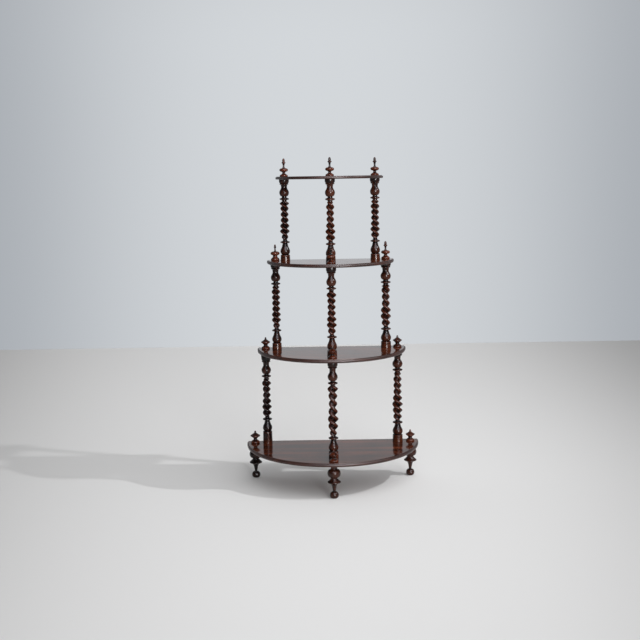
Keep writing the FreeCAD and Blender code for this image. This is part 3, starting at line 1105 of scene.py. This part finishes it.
# ---------------------------------------------------------------- the whole
# A twist's numbers are its beads, head and tail, the half widths of its first, widest, last and slim beads, and
# the place of the widest. A post's two are the heights of its upper and lower block.
# The posts' tones are partly the wood's own and partly painted light and shade: darker on the left, lighter on
# the right and front.
POSTS = (
    Post(Level.TOP, Side.LEFT, BarleyTwist(7, 7.5, 12.0, 19.0, 19.2, 12.8), 14.5, 21.0, tone_and_light=-0.06),
    Post(Level.TOP, Side.RIGHT, BarleyTwist(6, 25.5, 15.5, 17.2, 18.6, 16.0), 14.5, 21.0),
    Post(Level.TOP, Side.FRONT, BarleyTwist(6, 21.5, 15.5, 15.7, 18.9, 17.7, 14.4), 14.5, 21.0, tone_and_light=0.13),
    Post(
        Level.UPPER, Side.LEFT, BarleyTwist(7, 24.0, 11.0, 17.0, 18.4, 13.4, 16.0), 18.0, 23.0,
        tone_and_light=-0.06, flange_drop=1.0,
    ),
    Post(
        Level.UPPER, Side.RIGHT, BarleyTwist(6, 24.5, 15.0, 15.7, 19.5, 15.4, 14.6, 0.72, collar=16.0),
        18.0, 23.0, girth=1.08, tone_and_light=0.04, flange_drop=0.6,
    ),
    Post(
        Level.UPPER, Side.FRONT, BarleyTwist(7, 16.9, 14.3, 18.4, 19.2, 14.7), 19.5, 23.0,
        tone_and_light=0.08, flange_drop=1.0,
    ),
    Post(
        Level.LOWER, Side.LEFT, BarleyTwist(6, 21.0, 18.5, 18.2, 19.0, 17.6), 36.0, 48.0,
        tone_and_light=-0.25, flange_drop=1.0,
    ),
    Post(
        Level.LOWER, Side.RIGHT, BarleyTwist(7, 31.0, 14.5, 15.2, 19.6, 15.8, 14.9, 0.68, collar=13.6),
        18.0, 27.0, girth=1.08, tone_and_light=0.04, flange_drop=0.6,
    ),
    Post(
        Level.LOWER, Side.FRONT, BarleyTwist(7, 13.5, 7.5, 20.0, 20.4, 14.4, 16.0, 0.72), 20.5, 27.0,
        flange_drop=1.0,
    ),
)
FORMS = {Level.TOP: TOP_SPIRE, Level.UPPER: UPPER_SPIRE, Level.LOWER: KNOB, Level.BOTTOM: KNOB}
ODD_FORMS = {(Level.UPPER, Side.LEFT): SLIM_TIPPED_SPIRE, (Level.BOTTOM, Side.LEFT): TALL_KNOB}
# The finials' tones: partly the wood's own, partly painted shade on the left and painted light on the right.
FINIAL_TONES_AND_LIGHT = {
    (Level.BOTTOM, Side.RIGHT): 0.14,
    (Level.BOTTOM, Side.LEFT): -0.12,
    (Level.LOWER, Side.LEFT): -0.18,
    (Level.LOWER, Side.FRONT): -0.14,
    (Level.UPPER, Side.RIGHT): 0.06,
}
# The feet's tones: painted shade on the left foot in the bottom board's shadow, painted light on the right foot
# where the hard key lights it, partly the wood's own tone too.
FOOT_TONES_AND_LIGHT = {Side.LEFT: -0.38, Side.RIGHT: 0.32, Side.FRONT: 0.03}


def make_whatnot() -> None:
    """Builds every board, post, finial and foot."""
    maker = Maker()
    for level in Level:
        Board(level).make(maker)
        for side in Side:
            form = ODD_FORMS.get((level, side), FORMS[level])
            Finial(level, side, form, FINIAL_TONES_AND_LIGHT.get((level, side), 0.0)).make(maker)
    for post in POSTS:
        post.make(maker)
    for side in Side:
        Foot(side, FOOT_TONES_AND_LIGHT[side]).make(maker)


# ---------------------------------------------------------------- studio
@dataclass(frozen=True)
class Lamp:
    """A round lamp that points at the whatnot, near it or so far off that its rays run side by side."""

    name: str
    place: Place
    size: float                 # its diameter, or its angle in radians where it is far off
    power: float
    distant: bool = False
    aim: Place = (0.0, 0.0, 0.55)

    def hang(self) -> None:
        """Hangs the lamp."""
        lamp = bpy.data.lights.new(self.name, "SUN" if self.distant else "AREA")
        if self.distant:
            lamp.angle = self.size
        else:
            lamp.shape = "DISK"
            lamp.size = self.size
        lamp.energy = self.power
        made = bpy.data.objects.new(self.name, lamp)
        made.location = self.place
        made.rotation_euler = (Vector(self.aim) - Vector(self.place)).to_track_quat("-Z", "Y").to_euler()
        bpy.context.scene.collection.objects.link(made)


class Studio:
    """A pale floor before a pale wall, two lamps and the camera."""

    FLOOR_END = 3.3             # where the floor meets the wall
    FLOOR_NEAR = -30.0
    FLOOR_HALF = 30.0
    FLOOR_ROUGHNESS = 0.8
    # The floor's colour holds a painted pool of light, with painted shade to its sides.
    FLOOR_COLOUR = (0.84, 0.84, 0.842)
    FLOOR_SHADE_COLOUR = (0.345, 0.345, 0.348)   # painted shade left and right of the painted pool of light
    POOL_FROM = (0.0, -8.0, 1.2)    # the pool widens away from here
    POOL_SHIFT = 0.022              # how far it lies to the left
    POOL_BAND = (-0.02, 0.06)       # its soft edge, on the square of the direction's X
    POOL_NEAR_BAND = (-4.5, -1.2)   # the sides are as pale as the pool up to here along Y

    WALL_COLOUR = (0.685, 0.712, 0.738)
    WALL_SHADE_COLOUR = (0.40, 0.425, 0.457)     # painted shade left and right of its middle
    WALL_SIDE_BAND = (-0.03, 0.11)
    # painted shade towards the top of the wall
    WALL_TOP_SHADE_COLOUR = (0.36, 0.36, 0.37)
    WALL_TOP_BAND = (0.12, 0.45)
    AHEAD_BAND = (-0.10, 0.35)      # from the dim room to the wall, on the direction's Y
    ROOM_COLOUR = (0.045, 0.045, 0.05)
    FILL = 0.08                     # light from all round
    WALL_GLOW = 0.38                # light that the wall sends back
    SCRIM = 1.80                    # a wide soft light over the camera's right
    SCRIM_AXIS = (0.398, -0.569, 0.719)
    SCRIM_BAND = (0.60, 1.0)
    SHEEN = 150.0                   # how bright the polish sees its middle, in shares of the room's colour
    SHEEN_AXIS = (0.183, -0.683, 0.707)
    SHEEN_BAND = (0.82, 1.0)

    CAMERA_PLACE = (-0.0442, -3.7685, 1.1995)
    CAMERA_PITCH = 8.19
    CAMERA_ROLL = -0.86
    LENS = 56.25
    SENSOR = 36.0
    LAMPS = (
        Lamp("hard_key", (2.82, -0.68, 3.17), 0.10, 60.0),
        Lamp("front_window", (1.24, -3.8, 0.61), 0.30, 5.5, distant=True),
    )

    def lay_floor(self) -> None:
        """Lays the floor."""
        bm = bmesh.new()
        bmesh.ops.create_grid(bm, x_segments=1, y_segments=1, size=1.0)
        depth = (self.FLOOR_END - self.FLOOR_NEAR) / 2
        bmesh.ops.scale(bm, vec=(self.FLOOR_HALF, depth, 1.0), verts=bm.verts[:])
        bmesh.ops.translate(bm, vec=(0.0, self.FLOOR_END - depth, 0.0), verts=bm.verts[:])
        mesh = bpy.data.meshes.new("floor")
        bm.to_mesh(mesh)
        bm.free()
        floor = bpy.data.objects.new("floor", mesh)
        bpy.context.scene.collection.objects.link(floor)
        mesh.materials.append(self.floor_finish())

    def floor_finish(self) -> bpy.types.Material:
        """A pale matt floor whose colour darkens to both sides of a painted pool of light.

        Returns:
            Its material.
        """
        finish = bpy.data.materials.new("pale_floor")
        finish.use_nodes = True
        graph = Graph(finish.node_tree)
        place = graph.node("ShaderNodeTexCoord").outputs["Object"]
        away = graph.node("ShaderNodeVectorMath", {"operation": "SUBTRACT"}, {0: place, 1: self.POOL_FROM})
        towards = graph.node("ShaderNodeVectorMath", {"operation": "NORMALIZE"}, {0: away.outputs[0]})
        # Painted shade to both sides of the painted pool of light.
        aside = graph.axis(towards.outputs[0], "X") + self.POOL_SHIFT
        behind = graph.axis(place, "Y").between(*self.POOL_NEAR_BAND)
        sides = (aside * aside).between(*self.POOL_BAND) * behind
        colour = graph.mixed(sides, self.FLOOR_COLOUR, self.FLOOR_SHADE_COLOUR)
        shader = graph.node(
            "ShaderNodeBsdfPrincipled",
            {},
            {"Base Color": colour, "Roughness": self.FLOOR_ROUGHNESS, "Specular IOR Level": 0.0},
        )
        graph.node("ShaderNodeOutputMaterial", {}, {"Surface": shader.outputs[0]})
        return finish

    def set_world(self) -> None:
        """Sets the pale wall that the camera sees, the room that the polish sees, and the soft light."""
        world = bpy.data.worlds.new("studio")
        bpy.context.scene.world = world
        world.use_nodes = True
        graph = Graph(world.node_tree)
        rays = graph.node("ShaderNodeLightPath")
        towards = graph.node("ShaderNodeTexCoord").outputs["Generated"]
        ahead = graph.axis(towards, "Y").between(*self.AHEAD_BAND)
        aside = graph.axis(towards, "X")
        # The wall's colour darkens to its sides and top: painted shade, which the polish also reflects.
        side = (aside * aside).between(*self.WALL_SIDE_BAND)
        wall = graph.mixed(side, self.WALL_COLOUR, self.WALL_SHADE_COLOUR)
        wall = graph.mixed(graph.axis(towards, "Z").between(*self.WALL_TOP_BAND), wall, self.WALL_TOP_SHADE_COLOUR)
        room = graph.mixed(ahead, self.ROOM_COLOUR, wall)

        scrim = graph.facing(towards, self.SCRIM_AXIS).between(*self.SCRIM_BAND)
        sheen = graph.facing(towards, self.SHEEN_AXIS).between(*self.SHEEN_BAND)
        light = self.glow(graph, WHITE, scrim * self.SCRIM + ahead * self.WALL_GLOW + self.FILL)
        mirrored = self.glow(graph, room, sheen * self.SHEEN + 1.0)
        seen = self.glow(graph, wall, 1.0)
        lit = graph.node("ShaderNodeMixShader", {}, {0: rays.outputs["Is Glossy Ray"], 1: light, 2: mirrored})
        both = graph.node(
            "ShaderNodeMixShader", {}, {0: rays.outputs["Is Camera Ray"], 1: lit.outputs[0], 2: seen}
        )
        graph.node("ShaderNodeOutputWorld", {}, {"Surface": both.outputs[0]})

    @staticmethod
    def glow(graph: Graph, colour: object, strength: object) -> bpy.types.NodeSocket:
        """A background of a colour and strength."""
        return graph.node("ShaderNodeBackground", {}, {"Color": colour, "Strength": strength}).outputs[0]

    def set_camera(self) -> None:
        """Sets up the camera."""
        data = bpy.data.cameras.new("camera")
        data.lens = self.LENS
        data.sensor_width = self.SENSOR
        camera = bpy.data.objects.new("camera", data)
        turn = Euler((math.radians(90.0 - self.CAMERA_PITCH), 0.0, 0.0)).to_matrix().to_4x4()
        roll = Matrix.Rotation(math.radians(self.CAMERA_ROLL), 4, "Z")
        camera.matrix_world = Matrix.Translation(self.CAMERA_PLACE) @ turn @ roll
        bpy.context.scene.collection.objects.link(camera)
        bpy.context.scene.camera = camera

    def build(self) -> None:
        """Builds the whole studio."""
        self.lay_floor()
        self.set_world()
        self.set_camera()
        for lamp in self.LAMPS:
            lamp.hang()
        bpy.context.scene.view_settings.view_transform = "Standard"


def main() -> None:
    """Builds the studio and the whatnot."""
    logging.basicConfig(level=logging.INFO, format="%(name)s %(message)s")
    Studio().build()
    make_whatnot()


if __name__ == "__main__":
    main()
